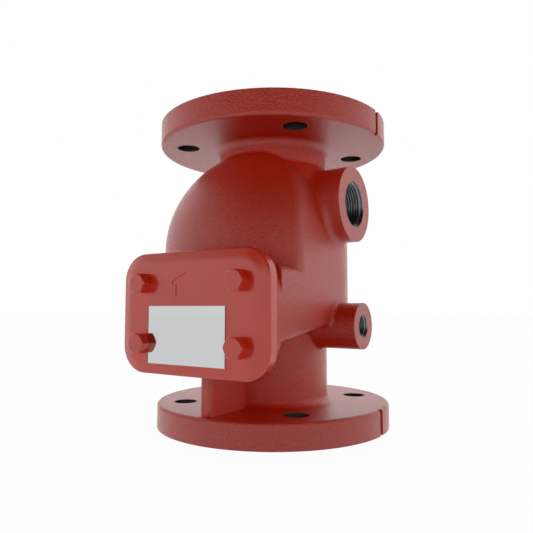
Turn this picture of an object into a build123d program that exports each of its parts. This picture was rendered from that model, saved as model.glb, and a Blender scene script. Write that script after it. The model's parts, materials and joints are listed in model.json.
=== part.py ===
"""A flanged alarm check valve for a wet sprinkler system, 80 mm bore, with its clapper inside.

Water flows upwards. The origin is the centre of the lower flange's outer face, +Z is the flow,
the handhole cover faces -Y and both threaded ports face +X. Every length is in millimetres.
"""
from math import cos, hypot, radians, sin, sqrt, tan
import os

from build123d import *

# Flanges, necks and waterway
FACE_TO_FACE = 260.0
FLANGE_DIAMETER = 200.0
FLANGE_THICKNESS = 20.0
FLANGE_BOLT_CIRCLE_DIAMETER = 152.4
FLANGE_HOLE_DIAMETER = 19.0
FLANGE_HOLES = 4
FLANGE_EDGE_ROUND = 2.5
NOTCH_WIDTH = 5.0
NOTCH_DEPTH = 2.2
NECK_DIAMETER = 95.6
NECK_FILLET = 6.0
WEB_FILLET = 3.0
CROWN_FILLET = 4.6
WATERWAY_DIAMETER = 80.0

# Chamber: a round back, flat sides, and a hood with a spherical front
CHAMBER_WIDTH = 133.2
CHAMBER_WALL = 8.6
DOME_SETBACK = 0.4
DOME_CENTRE_Z = 145.0
HOOD_TOP_Z = 228.6
HOOD_FOOT_Z = 112.0
HOOD_CREASE = 14.0
SHOULDER_START_Z = 165.0
SHOULDER_TOP_Z = 221.0
UNDERSIDE_BACK_Z = 88.0
UNDERSIDE_BACK_DROP = 10.0
UNDERSIDE_FRONT_Z = 74.4
CHAMBER_FLOOR_Z = 96.0

# Handhole pad, cover, gasket and bolts
COVER_HEIGHT = 90.4
COVER_CENTRE_Z = 95.6
COVER_THICKNESS = 10.6
COVER_FACE_Y = -114.3
COVER_CORNER = 21.0
COVER_SLOPE_WIDTH = 8.7
COVER_SLOPE_DEPTH = 2.6
COVER_SLOPE_ROUND = 20.0
COVER_RIM_ROUND = 1.5
GASKET_THICKNESS = 1.5
PAD_SIDE_MARGIN = 0.9
PAD_END_MARGIN = 2.6
PAD_CORNER = 29.0
PAD_THICKNESS = 6.2
HATCH_CORNER = 5.5
HATCH_LOWER_ROUND = 6.0
BOLT_INSET_WIDTH = 23.0
BOLT_INSET_HEIGHT = 22.85
COVER_BOLT_DIAMETER = 9.5
BOLT_HEAD_FLATS = 14.3
BOLT_HEAD_HEIGHT = 8.3
BOLT_LENGTH = 26.0
BOLT_CLEARANCE = 0.5
HANDHOLE_SIDE_WIDTH = 20.6
HANDHOLE_HEIGHT = 50.0
HANDHOLE_HEADROOM = 0.3
HANDHOLE_SILL_Z = 81.0
BOLT_BOSS_DIAMETER = 18.0
BOLT_HOLE_BOTTOM = 3.0
BOLT_BOSS_DEPTH = 12.0

# Name plate
PLATE_WIDTH = 71.0
PLATE_HEIGHT = 42.2
PLATE_THICKNESS = 0.8
PLATE_CENTRE_X = -2.4
PLATE_CENTRE_Z = 79.8

# Front web
WEB_THICKNESS = 10.8
WEB_RIM_SETBACK = 5.7
WEB_PAD_SETBACK = 1.7

# Threaded ports
DRAIN_PORT_Z = 184.8
DRAIN_BOSS_DIAMETER = 62.4
DRAIN_BOSS_LENGTH = 13.2
DRAIN_BORE_DIAMETER = 38.0
DRAIN_THREAD_DEPTH = 18.0
DRAIN_PASSAGE_DIAMETER = 33.0
ALARM_PORT_Z = 84.8
ALARM_BOSS_DIAMETER = 37.4
ALARM_BOSS_LENGTH = 19.4
ALARM_BORE_DIAMETER = 18.3
ALARM_THREAD_DEPTH = 18.0
ALARM_PASSAGE_DIAMETER = 9.0
DRAIN_BOSS_FILLET = 6.0
ALARM_BOSS_FILLET = 3.0

# Seat ring
SEAT_BARREL_DIAMETER = 87.0
SEAT_BARREL_WALL = 7.5
SEAT_FLANGE_WIDTH = 8.5
SEAT_FLANGE_THICKNESS = 4.0
SEAT_LIP_INSET = 0.5
SEAT_LIP_HEIGHT = 1.0
SEAT_BARREL_LENGTH = 22.0
SEAT_GROOVE_INSET_WIDTH = 3.25
SEAT_GROOVE_WIDTH = 2.5
SEAT_GROOVE_DEPTH = 3.0
ALARM_HOLES = 8
ALARM_HOLE_DIAMETER = 2.5
ALARM_RING_DEPTH = 3.8
ALARM_RING_HEIGHT = 9.0
SEAT_SCREW_INSET_WIDTH = 4.3
SEAT_SCREW_DIAMETER = 4.0
SEAT_SCREW_HEAD_DIAMETER = 7.5
SEAT_SCREW_LENGTH = 10.0
SEAT_SCREWS = 4
SEAT_MOUTH_CHAMFER = 3.0
SOCKET_CLEARANCE = 0.05
SCREW_CLEARANCE = 0.1
ORING_SECTION = 2.5
ORING_GROOVE_WIDTH = 3.4
ORING_GROOVE_DEPTH = 2.7
ORING_UPPER_Z = 92.7
ORING_LOWER_Z = 77.4

# Clapper
FACING_GAP = 0.3
FACING_THICKNESS = 4.0
FACING_OVERHANG = 0.1
FACING_GRIP_WIDTH = 3.9
DISC_RIM_WIDTH = 1.3
DISC_THICKNESS = 7.0
DISC_SKIRT_DEPTH = 2.5
DISC_RIM_DROP = 3.0
DISC_FLAT_DIAMETER = 40.0
FACING_CLEARANCE = 0.2
RETAINER_CLEARANCE = 1.2
RETAINER_THICKNESS = 2.5
RETAINER_SCREWS = 3
RETAINER_SCREW_CIRCLE_DIAMETER = 44.0
RETAINER_SCREW_DIAMETER = 4.0
RETAINER_SCREW_HEAD_DIAMETER = 7.5
RETAINER_SCREW_LENGTH = 11.0
STUD_DIAMETER = 12.0
STUD_CLEARANCE = 0.3
ARM_THICKNESS = 8.0
ARM_BOSS_DIAMETER = 26.0
ARM_LIFT = 0.4
ARM_EAR_LENGTH = 15.0
ARM_RIB_HEIGHT = 4.0
ARM_RIB_WIDTH = 6.0
WASHER_THICKNESS = 1.6
WASHER_DIAMETER = 24.0
NUT_HEIGHT = 6.0
NUT_FLATS = 18.0
STUD_PROUD = 4.0
COTTER_DIAMETER = 2.0
COTTER_LEG = 5.0
COTTER_SPREAD = 35.0

# Hinge
HINGE_SETBACK = 13.0
HINGE_Z = 121.0
PIN_DIAMETER = 8.0
PIN_LENGTH = 54.4
BUSH_WALL = 1.8
HUB_DIAMETER = 17.0
HUB_GAP = 20.0
HUB_LENGTH = 8.6
LUG_THICKNESS = 5.4
RUNNING_FIT = 0.05
SIDE_CLEARANCE = 0.3
CLIP_THICKNESS = 1.0
CLIP_DIAMETER = 11.0
CLIP_GROOVE_DEPTH = 0.8
CLAPPER_OPEN_ANGLE = 70.0
STOP_DIAMETER = 16.0
STOP_CLEARANCE = 0.6
STOP_LENGTH = 20.0

# Closing spring
SPRING_WIRE = 1.6
SPRING_COIL_DIAMETER = 13.6
SPRING_PITCH = 2.7
SPRING_WHOLE_TURNS = 5
SPRING_REAR_ANGLE = 150.0
SPRING_FRONT_ANGLE = 105.0
SPRING_BEND_SWELL = 1.06
SPRING_ROOM = 1.5

# Values worked out from the ones above
flange_radius = FLANGE_DIAMETER / 2
top_flange_z = FACE_TO_FACE - FLANGE_THICKNESS
neck_radius = NECK_DIAMETER / 2
chamber_radius = CHAMBER_WIDTH / 2
inner_radius = chamber_radius - CHAMBER_WALL
hinge_y = inner_radius - HINGE_SETBACK
hood_arch_z = HOOD_TOP_Z - chamber_radius
drain_boss_reach = chamber_radius + DRAIN_BOSS_LENGTH
alarm_boss_reach = chamber_radius + ALARM_BOSS_LENGTH
seat_top_z = CHAMBER_FLOOR_Z + SEAT_FLANGE_THICKNESS
seat_face_z = seat_top_z + SEAT_LIP_HEIGHT
barrel_bottom_z = CHAMBER_FLOOR_Z - SEAT_BARREL_LENGTH
facing_z = seat_face_z + FACING_GAP
disc_z = facing_z + FACING_THICKNESS
disc_top_z = disc_z + DISC_THICKNESS
arm_z = disc_top_z + ARM_LIFT
arm_top_z = arm_z + ARM_THICKNESS
nut_z = arm_top_z + WASHER_THICKNESS
stud_top_z = nut_z + NUT_HEIGHT + STUD_PROUD
cover_back_y = COVER_FACE_Y + COVER_THICKNESS
pad_face_y = cover_back_y + GASKET_THICKNESS
pad_back_y = pad_face_y + PAD_THICKNESS
dome_radius = -pad_back_y - DOME_SETBACK
web_front_y = max(WEB_RIM_SETBACK - flange_radius, pad_back_y + WEB_PAD_SETBACK)
cover_width = CHAMBER_WIDTH + 2 * PAD_SIDE_MARGIN
pad_height = COVER_HEIGHT - 2 * PAD_END_MARGIN
pad_low_z = COVER_CENTRE_Z - pad_height / 2
hatch_top_z = COVER_CENTRE_Z + HANDHOLE_HEIGHT / 2 + HANDHOLE_HEADROOM + CHAMBER_WALL
bolt_spacing_x = cover_width - 2 * BOLT_INSET_WIDTH
bolt_spacing_z = COVER_HEIGHT - 2 * BOLT_INSET_HEIGHT
handhole_width = CHAMBER_WIDTH - 2 * HANDHOLE_SIDE_WIDTH
bolt_places = [(sx * bolt_spacing_x / 2, sz * bolt_spacing_z / 2) for sz in (1, -1) for sx in (-1, 1)]
cotter_z = nut_z + NUT_HEIGHT + COTTER_DIAMETER / 2 + SIDE_CLEARANCE
retainer_z = facing_z - RETAINER_THICKNESS
oring_radius = (SEAT_BARREL_DIAMETER - ORING_GROOVE_DEPTH) / 2
seat_bore = SEAT_BARREL_DIAMETER - 2 * SEAT_BARREL_WALL
seat_flange_diameter = SEAT_BARREL_DIAMETER + 2 * SEAT_FLANGE_WIDTH
seat_lip_diameter = SEAT_BARREL_DIAMETER - 2 * SEAT_LIP_INSET
seat_groove_middle = seat_bore + 2 * SEAT_GROOVE_INSET_WIDTH
seat_screw_circle = seat_flange_diameter - 2 * SEAT_SCREW_INSET_WIDTH
alarm_ring_diameter = SEAT_BARREL_DIAMETER - 2 * ALARM_RING_DEPTH
facing_outer_diameter = seat_lip_diameter + 2 * FACING_OVERHANG
disc_diameter = facing_outer_diameter + 2 * DISC_RIM_WIDTH
retainer_diameter = seat_bore - 2 * RETAINER_CLEARANCE
facing_inner_diameter = retainer_diameter - 2 * FACING_GRIP_WIDTH
bush_radius = PIN_DIAMETER / 2 + RUNNING_FIT + BUSH_WALL
spring_room_radius = SPRING_COIL_DIAMETER / 2 + SPRING_WIRE + SPRING_ROOM
hub_inner_x = HUB_GAP / 2
hub_outer_x = hub_inner_x + HUB_LENGTH
lug_inner_x = hub_outer_x + SIDE_CLEARANCE
lug_outer_x = lug_inner_x + LUG_THICKNESS
coil_radius = SPRING_COIL_DIAMETER / 2
coil_turns = SPRING_WHOLE_TURNS + (360 - SPRING_REAR_ANGLE + SPRING_FRONT_ANGLE) / 360
coil_length = coil_turns * SPRING_PITCH
clip_x = lug_outer_x + SIDE_CLEARANCE
open_sin = sin(radians(CLAPPER_OPEN_ANGLE))
open_cos = cos(radians(CLAPPER_OPEN_ANGLE))
stop_rise = stud_top_z + STOP_CLEARANCE - HINGE_Z
stop_plane = Plane(
    origin=(0, hinge_y * (1 - open_cos) + stop_rise * open_sin,
        HINGE_Z + hinge_y * open_sin + stop_rise * open_cos),
    x_dir=(1, 0, 0), z_dir=(0, open_sin, open_cos))


def front_plane(y, z=COVER_CENTRE_Z):
    """A plane that faces -Y at the given depth, with its own Y axis pointing up."""
    return Plane(origin=(0, y, z), x_dir=(1, 0, 0), z_dir=(0, -1, 0))


def side_plane(x, z, y=0.0):
    """A plane that faces +X, with its own X axis along +Y and its own Y axis pointing up."""
    return Plane(origin=(x, y, z), x_dir=(0, 1, 0), z_dir=(1, 0, 0))


def handhole_sketch(plane, grow=0.0):
    """The oval handhole, cut off flat at its sill, on the given plane."""
    width = handhole_width / 2 + grow
    height = HANDHOLE_HEIGHT / 2 + grow
    sill = HANDHOLE_SILL_Z - COVER_CENTRE_Z - grow
    with BuildSketch(plane) as outline:
        Ellipse(width, height)
        with Locations((0, sill - height)):
            Rectangle(2 * width + 2, 2 * height, mode=Mode.SUBTRACT)
    return outline.sketch


def chamber_sketch(radius, foot_z, foot_drop, top_radius, top_z):
    """Half of a round chamber's outline: a foot, an upright wall and a curved shoulder."""
    rise = top_z - SHOULDER_START_Z
    inset = radius - top_radius
    shoulder_radius = (rise**2 + inset**2) / (2 * inset)
    middle_rise = rise / 2
    middle_x = radius - shoulder_radius + sqrt(shoulder_radius**2 - middle_rise**2)
    with BuildSketch(Plane.XZ) as outline:
        with BuildLine():
            Polyline((top_radius, top_z), (0, top_z), (0, foot_z - foot_drop),
                (top_radius, foot_z - foot_drop), (radius, foot_z), (radius, SHOULDER_START_Z))
            ThreePointArc((radius, SHOULDER_START_Z), (middle_x, SHOULDER_START_Z + middle_rise),
                (top_radius, top_z))
        make_face()
    return outline.sketch


def hood_solid(half_width, sphere_radius, crease):
    """The hood: a spherical front on an upright cylinder, inside a round-topped arch."""
    with BuildPart() as hood:
        with BuildSketch(Plane.XZ):
            with BuildLine():
                Polyline((0, DOME_CENTRE_Z + sphere_radius), (0, HOOD_FOOT_Z),
                    (sphere_radius, HOOD_FOOT_Z), (sphere_radius, DOME_CENTRE_Z))
                CenterArc((0, DOME_CENTRE_Z), sphere_radius, 0, 90)
            make_face()
        revolve(axis=Axis.Z)
        with BuildSketch(Plane.XZ):
            with Locations((0, hood_arch_z)):
                Circle(half_width)
            with Locations((0, (hood_arch_z + HOOD_FOOT_Z) / 2)):
                Rectangle(2 * half_width, hood_arch_z - HOOD_FOOT_Z)
        extrude(amount=sphere_radius + CHAMBER_WALL, mode=Mode.INTERSECT)
        front = [e for e in hood.edges() if e.center().Y < -sphere_radius / 4
            and e.center().Z > HOOD_FOOT_Z + 1 and abs(e.center().Z - DOME_CENTRE_Z) > 0.01
            and e.geom_type != GeomType.CIRCLE or e.geom_type == GeomType.LINE
            and e.center().Y < -sphere_radius / 2 and e.center().Z > HOOD_FOOT_Z + 1]
        fillet(front, crease)
    return hood.part


def boss_root_edges(part, port_z, boss_radius, boss_reach):
    """The edges where a port's boss meets the rest of the body."""
    roots = []
    for edge in part.edges():
        points = [edge @ place for place in (0.1, 0.5, 0.9)]
        on_boss = all(abs(hypot(p.Y, p.Z - port_z) - boss_radius) < 0.01 for p in points)
        if on_boss and edge.geom_type != GeomType.LINE and edge.center().X < boss_reach - 1:
            roots.append(edge)
    return roots


def hatch_solid():
    """The box that joins the hood to the handhole pad, with its underside sloping to the front."""
    with BuildPart() as hatch:
        with BuildSketch(Plane.YZ.offset(-chamber_radius)):
            with BuildLine():
                Polyline((pad_back_y, UNDERSIDE_FRONT_Z), (pad_back_y, hatch_top_z), (0, hatch_top_z),
                    (0, UNDERSIDE_BACK_Z), (pad_back_y, UNDERSIDE_FRONT_Z))
            make_face()
        extrude(amount=CHAMBER_WIDTH)
        long_edges = [e for e in hatch.edges() if abs(e.center().X) > 1 and abs(e.tangent_at(0.5).Y) > 0.9]
        fillet([e for e in long_edges if e.center().Z > COVER_CENTRE_Z], HATCH_CORNER)
        fillet([e for e in hatch.edges() if abs(e.center().X) > chamber_radius - 0.01
            and abs(e.tangent_at(0.5).Y) > 0.9 and e.center().Z < COVER_CENTRE_Z], HATCH_LOWER_ROUND)
    return hatch.part


def chamber_cavity():
    """The hollow inside the chamber: round back, hood and the way out to the handhole."""
    with BuildPart() as cavity:
        revolve(chamber_sketch(inner_radius, CHAMBER_FLOOR_Z, 0, WATERWAY_DIAMETER / 2,
            SHOULDER_TOP_Z - CHAMBER_WALL), axis=Axis.Z)
        add(hood_solid(inner_radius, dome_radius - CHAMBER_WALL, HOOD_CREASE - CHAMBER_WALL / 2))
        with BuildSketch(Plane.YZ.offset(-inner_radius)):
            with BuildLine():
                Polyline((pad_face_y, HANDHOLE_SILL_Z), (pad_face_y, hatch_top_z - CHAMBER_WALL),
                    (0, hatch_top_z - CHAMBER_WALL), (0, CHAMBER_FLOOR_Z),
                    (-neck_radius - CHAMBER_WALL, CHAMBER_FLOOR_Z), (pad_back_y, HANDHOLE_SILL_Z),
                    (pad_face_y, HANDHOLE_SILL_Z))
            make_face()
        extrude(amount=2 * inner_radius)
        # Only the handhole itself goes through the pad
        with BuildSketch(front_plane(pad_back_y)):
            Rectangle(3 * chamber_radius, 3 * pad_height)
        extrude(amount=PAD_THICKNESS + 1, mode=Mode.SUBTRACT)
        extrude(handhole_sketch(front_plane(pad_back_y + 0.5)), amount=PAD_THICKNESS + 1)
        # The bosses of the upper bolts stay, joined to the roof and the sides
        with BuildSketch(front_plane(pad_back_y)):
            with Locations(*bolt_places):
                Circle(BOLT_BOSS_DIAMETER / 2)
            with Locations(*[(sign * (inner_radius + bolt_spacing_x / 2) / 2, pad_height / 2)
                    for sign in (-1, 1)]):
                Rectangle(inner_radius - bolt_spacing_x / 2 + BOLT_BOSS_DIAMETER, pad_height - bolt_spacing_z)
        extrude(amount=-BOLT_BOSS_DEPTH, mode=Mode.SUBTRACT)
    return cavity.part


def hexagon_solid(flats, height):
    """A hexagon bolt head or nut standing on its base, with its upper corners turned off."""
    corner = flats / sqrt(3)
    top_radius = 0.95 * flats / 2
    with BuildPart() as hexagon:
        with BuildSketch():
            RegularPolygon(flats / 2, 6, major_radius=False)
        extrude(amount=height)
        with BuildSketch(Plane.XZ):
            with BuildLine():
                Polyline((0, 0), (corner, 0), (corner, height - (corner - top_radius) * tan(radians(30))),
                    (top_radius, height), (0, height), (0, 0))
            make_face()
        revolve(axis=Axis.Z, mode=Mode.INTERSECT)
    return hexagon.part


def countersunk_screw(diameter, head_diameter, length):
    """A countersunk screw with the flat of its head at the origin, pointing down."""
    with BuildPart() as screw:
        with BuildSketch(Plane.XZ):
            with BuildLine():
                Polyline((0, 0), (head_diameter / 2, 0), (diameter / 2, (diameter - head_diameter) / 2),
                    (diameter / 2, -length), (0, -length), (0, 0))
            make_face()
        revolve(axis=Axis.Z)
    return screw.part


os.makedirs("parts", exist_ok=True)

# Body: flanges and necks turned about the flow axis, then the chamber, pad, web and bosses
with BuildPart() as valve_body:
    with BuildSketch(Plane.XZ):
        with BuildLine():
            Polyline((0, 0), (flange_radius, 0), (flange_radius, FLANGE_THICKNESS),
                (neck_radius, FLANGE_THICKNESS), (neck_radius, top_flange_z),
                (flange_radius, top_flange_z), (flange_radius, FACE_TO_FACE),
                (0, FACE_TO_FACE), (0, 0))
        make_face()
    revolve(axis=Axis.Z)
    rims = valve_body.edges().filter_by(GeomType.CIRCLE).filter_by(
        lambda e: abs(e.radius - flange_radius) < 0.01
        and (abs(e.center().Z - FLANGE_THICKNESS) < 0.01 or abs(e.center().Z - top_flange_z) < 0.01))
    fillet(rims, FLANGE_EDGE_ROUND)
    # Notch that lines the flanges up, through both rims on the ports' side
    with BuildSketch():
        with Locations((flange_radius, 0)):
            Rectangle(2 * NOTCH_DEPTH, NOTCH_WIDTH)
    extrude(amount=FACE_TO_FACE, mode=Mode.SUBTRACT)
    # Round back of the chamber
    revolve(chamber_sketch(chamber_radius, UNDERSIDE_BACK_Z, UNDERSIDE_BACK_DROP, neck_radius,
        SHOULDER_TOP_Z), axis=Axis.Z)
    add(hood_solid(chamber_radius, dome_radius, HOOD_CREASE))
    add(hatch_solid())
    # Pad that the cover bolts to
    with BuildSketch(front_plane(pad_back_y)):
        RectangleRounded(CHAMBER_WIDTH, pad_height, PAD_CORNER)
    extrude(amount=PAD_THICKNESS)
    # Bosses behind the pad for the lower bolts
    with BuildSketch(front_plane(pad_back_y)):
        with Locations(*bolt_places):
            Circle(BOLT_BOSS_DIAMETER / 2)
    extrude(amount=-BOLT_BOSS_DEPTH)
    # Web from the lower flange to the pad
    with BuildSketch(Plane.YZ.offset(-WEB_THICKNESS / 2)):
        with BuildLine():
            Polyline((0, FLANGE_THICKNESS - 1), (web_front_y, FLANGE_THICKNESS - 1), (web_front_y, pad_low_z),
                (pad_back_y - 1, pad_low_z + PAD_THICKNESS), (pad_back_y - 1, CHAMBER_FLOOR_Z - CHAMBER_WALL),
                (0, CHAMBER_FLOOR_Z - CHAMBER_WALL), (0, FLANGE_THICKNESS - 1))
        make_face()
    extrude(amount=WEB_THICKNESS)
    neck_roots = [e for e in valve_body.edges() if e.geom_type == GeomType.CIRCLE
        and abs(e.radius - neck_radius) < 0.01
        and not 2 * FLANGE_THICKNESS < e.center().Z < SHOULDER_TOP_Z + CROWN_FILLET]
    web_roots = [e for e in valve_body.edges() if abs(e.center().Z - FLANGE_THICKNESS) < 0.01
        and abs(e.center().X) < WEB_THICKNESS and web_front_y - 1 < e.center().Y < -neck_radius + 2]
    web_sides = [e for e in valve_body.edges() if e.geom_type == GeomType.LINE
        and abs(e.tangent_at(0.5).Z) > 0.9 and abs(abs(e.center().X) - WEB_THICKNESS / 2) < 0.01
        and FLANGE_THICKNESS < e.center().Z < COVER_CENTRE_Z
        and (abs(e.center().Y + neck_radius) < 1 or abs(e.center().Y - web_front_y) < 0.01)]
    fillet(neck_roots, NECK_FILLET)
    fillet(web_roots + web_sides, WEB_FILLET)
    # Bosses of the two threaded ports
    for port_z, boss_diameter, boss_reach in ((DRAIN_PORT_Z, DRAIN_BOSS_DIAMETER, drain_boss_reach),
            (ALARM_PORT_Z, ALARM_BOSS_DIAMETER, alarm_boss_reach)):
        with BuildSketch(side_plane(0, port_z)):
            Circle(boss_diameter / 2)
        extrude(amount=boss_reach)
    fillet(boss_root_edges(valve_body.part, DRAIN_PORT_Z, DRAIN_BOSS_DIAMETER / 2, drain_boss_reach),
        DRAIN_BOSS_FILLET)
    fillet(boss_root_edges(valve_body.part, ALARM_PORT_Z, ALARM_BOSS_DIAMETER / 2, alarm_boss_reach),
        ALARM_BOSS_FILLET)
    crown = [e for e in valve_body.edges() if e.geom_type != GeomType.LINE
        and SHOULDER_TOP_Z - DRAIN_BOSS_FILLET < e.center().Z < top_flange_z - NECK_FILLET * 2
        and abs(hypot((e @ 0.5).X, (e @ 0.5).Y) - neck_radius) < 0.05]
    fillet(crown, CROWN_FILLET)
    # Hollow inside, waterways and the seat ring's socket
    add(chamber_cavity(), mode=Mode.SUBTRACT)
    with BuildSketch():
        Circle(WATERWAY_DIAMETER / 2)
    extrude(amount=barrel_bottom_z, mode=Mode.SUBTRACT)
    with BuildSketch(Plane.XY.offset(barrel_bottom_z)):
        Circle(SEAT_BARREL_DIAMETER / 2 + SOCKET_CLEARANCE)
    extrude(amount=SEAT_BARREL_LENGTH, mode=Mode.SUBTRACT)
    with BuildSketch(Plane.XY.offset(FACE_TO_FACE)):
        Circle(WATERWAY_DIAMETER / 2)
    extrude(amount=-(FACE_TO_FACE - SHOULDER_TOP_Z + CHAMBER_WALL + 1), mode=Mode.SUBTRACT)
    # Bolt holes of the flanges
    for hole_z in (0, top_flange_z):
        with BuildSketch(Plane.XY.offset(hole_z)):
            with PolarLocations(FLANGE_BOLT_CIRCLE_DIAMETER / 2, FLANGE_HOLES,
                    start_angle=180 / FLANGE_HOLES):
                Circle(FLANGE_HOLE_DIAMETER / 2)
        extrude(amount=FLANGE_THICKNESS, mode=Mode.SUBTRACT)
    # Ports: the bore that takes the thread, then a narrower passage
    for port_z, bore, depth, reach, passage, end_x in (
            (DRAIN_PORT_Z, DRAIN_BORE_DIAMETER, DRAIN_THREAD_DEPTH, drain_boss_reach,
                DRAIN_PASSAGE_DIAMETER, neck_radius / 2),
            (ALARM_PORT_Z, ALARM_BORE_DIAMETER, ALARM_THREAD_DEPTH, alarm_boss_reach,
                ALARM_PASSAGE_DIAMETER, WATERWAY_DIAMETER / 2)):
        with BuildSketch(side_plane(reach, port_z)):
            Circle(bore / 2)
        extrude(amount=-depth, mode=Mode.SUBTRACT)
        with BuildSketch(side_plane(reach - depth, port_z)):
            Circle(passage / 2)
        extrude(amount=-(reach - depth - end_x), mode=Mode.SUBTRACT)
    # Tapped holes for the cover bolts and the seat ring's screws
    with BuildSketch(front_plane(pad_face_y)):
        with Locations(*bolt_places):
            Circle(COVER_BOLT_DIAMETER / 2 + SOCKET_CLEARANCE)
    extrude(amount=-(PAD_THICKNESS + BOLT_BOSS_DEPTH - BOLT_HOLE_BOTTOM), mode=Mode.SUBTRACT)
    with BuildSketch(Plane.XY.offset(CHAMBER_FLOOR_Z)):
        with PolarLocations(seat_screw_circle / 2, SEAT_SCREWS, start_angle=180 / SEAT_SCREWS):
            Circle(SEAT_SCREW_DIAMETER / 2 + SOCKET_CLEARANCE)
    extrude(amount=-(SEAT_SCREW_LENGTH - SEAT_FLANGE_THICKNESS + 0.5), mode=Mode.SUBTRACT)
    # Lugs that carry the hinge pin, and the pad that stops the open clapper
    for sign in (-1, 1):
        with BuildSketch(side_plane(sign * lug_inner_x, HINGE_Z, hinge_y)):
            Circle(HUB_DIAMETER / 2)
            with Locations(((inner_radius - hinge_y + 2) / 2, 0)):
                Rectangle(inner_radius - hinge_y + 2, HUB_DIAMETER)
            Circle(PIN_DIAMETER / 2 + RUNNING_FIT / 2, mode=Mode.SUBTRACT)
        extrude(amount=sign * LUG_THICKNESS)
    with BuildSketch(stop_plane):
        Circle(STOP_DIAMETER / 2)
    extrude(amount=STOP_LENGTH)
valve_body.part.label = "valve_body"

export_step(valve_body.part, "parts/valve_body.step")

# Handhole cover
with BuildPart() as handhole_cover:
    with BuildSketch(front_plane(cover_back_y)):
        RectangleRounded(cover_width, COVER_HEIGHT, COVER_CORNER)
    extrude(amount=COVER_THICKNESS)
    cover_face = handhole_cover.faces().sort_by(Axis.Y)[0]
    chamfer(cover_face.edges(), COVER_SLOPE_WIDTH, COVER_SLOPE_DEPTH, reference=cover_face)
    fillet(handhole_cover.edges().group_by(Axis.Y)[0], COVER_SLOPE_ROUND)
    cover_rim = handhole_cover.edges().filter_by(
        lambda e: abs(e.center().Y - COVER_FACE_Y - COVER_SLOPE_DEPTH) < 0.01)
    fillet(cover_rim, COVER_RIM_ROUND)
    with BuildSketch(front_plane(cover_back_y)):
        with Locations(*bolt_places):
            Circle(COVER_BOLT_DIAMETER / 2 + BOLT_CLEARANCE)
    extrude(amount=COVER_THICKNESS, mode=Mode.SUBTRACT)
handhole_cover.part.label = "handhole_cover"
export_step(handhole_cover.part, "parts/handhole_cover.step")

# Gasket between the pad and the cover
with BuildPart() as cover_gasket:
    with BuildSketch(front_plane(pad_face_y)):
        RectangleRounded(CHAMBER_WIDTH, pad_height, PAD_CORNER)
        with Locations(*bolt_places):
            Circle(COVER_BOLT_DIAMETER / 2 + BOLT_CLEARANCE, mode=Mode.SUBTRACT)
    extrude(amount=GASKET_THICKNESS)
    extrude(handhole_sketch(front_plane(pad_face_y), GASKET_THICKNESS), amount=GASKET_THICKNESS,
        mode=Mode.SUBTRACT)
cover_gasket.part.label = "cover_gasket"
export_step(cover_gasket.part, "parts/cover_gasket.step")

# Four hexagon bolts
bolt_head = hexagon_solid(BOLT_HEAD_FLATS, BOLT_HEAD_HEIGHT)
with BuildPart() as cover_bolts:
    with Locations(front_plane(COVER_FACE_Y)):
        with Locations(*bolt_places):
            add(bolt_head)
    with BuildSketch(front_plane(COVER_FACE_Y)):
        with Locations(*bolt_places):
            Circle(COVER_BOLT_DIAMETER / 2)
    extrude(amount=-BOLT_LENGTH)
cover_bolts.part.label = "cover_bolts"
export_step(cover_bolts.part, "parts/cover_bolts.step")

# Name plate, bare, notched round the bolt head beside it
with BuildPart() as name_plate:
    with BuildSketch(front_plane(COVER_FACE_Y)):
        with Locations((PLATE_CENTRE_X, PLATE_CENTRE_Z - COVER_CENTRE_Z)):
            Rectangle(PLATE_WIDTH, PLATE_HEIGHT)
        with Locations(*bolt_places):
            RegularPolygon(BOLT_HEAD_FLATS / 2 + SIDE_CLEARANCE, 6, major_radius=False, mode=Mode.SUBTRACT)
    extrude(amount=PLATE_THICKNESS)
name_plate.part.label = "name_plate"
export_step(name_plate.part, "parts/name_plate.step")

# Seat ring: barrel, flange and raised lip, with the groove and holes that feed the alarm port
with BuildPart() as seat_ring:
    with BuildSketch(Plane.XZ):
        with BuildLine():
            Polyline((seat_bore / 2 + SEAT_MOUTH_CHAMFER, barrel_bottom_z),
                (SEAT_BARREL_DIAMETER / 2, barrel_bottom_z), (SEAT_BARREL_DIAMETER / 2, CHAMBER_FLOOR_Z),
                (seat_flange_diameter / 2, CHAMBER_FLOOR_Z), (seat_flange_diameter / 2, seat_top_z),
                (seat_lip_diameter / 2, seat_top_z), (seat_lip_diameter / 2, seat_face_z),
                (seat_bore / 2, seat_face_z), (seat_bore / 2, barrel_bottom_z + SEAT_MOUTH_CHAMFER),
                (seat_bore / 2 + SEAT_MOUTH_CHAMFER, barrel_bottom_z))
        make_face()
        with Locations((seat_groove_middle / 2, seat_face_z - SEAT_GROOVE_DEPTH / 2)):
            Rectangle(SEAT_GROOVE_WIDTH, SEAT_GROOVE_DEPTH, mode=Mode.SUBTRACT)
        with Locations(((alarm_ring_diameter + SEAT_BARREL_DIAMETER) / 4, ALARM_PORT_Z)):
            Rectangle((SEAT_BARREL_DIAMETER - alarm_ring_diameter) / 2, ALARM_RING_HEIGHT,
                mode=Mode.SUBTRACT)
        with Locations(*[(oring_radius, z) for z in (ORING_LOWER_Z, ORING_UPPER_Z)]):
            Rectangle(ORING_GROOVE_DEPTH, ORING_GROOVE_WIDTH, mode=Mode.SUBTRACT)
    revolve(axis=Axis.Z)
    with BuildSketch(Plane.XY.offset(seat_face_z)):
        with PolarLocations(seat_groove_middle / 2, ALARM_HOLES):
            Circle(ALARM_HOLE_DIAMETER / 2)
    extrude(amount=-(seat_face_z - ALARM_PORT_Z), mode=Mode.SUBTRACT)
    with Locations(Plane.XY.offset(seat_top_z)):
        with PolarLocations(seat_screw_circle / 2, SEAT_SCREWS, start_angle=180 / SEAT_SCREWS):
            CounterSinkHole(SEAT_SCREW_DIAMETER / 2 + SCREW_CLEARANCE,
                SEAT_SCREW_HEAD_DIAMETER / 2 + SCREW_CLEARANCE, SEAT_FLANGE_THICKNESS + 1, 90)
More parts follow.
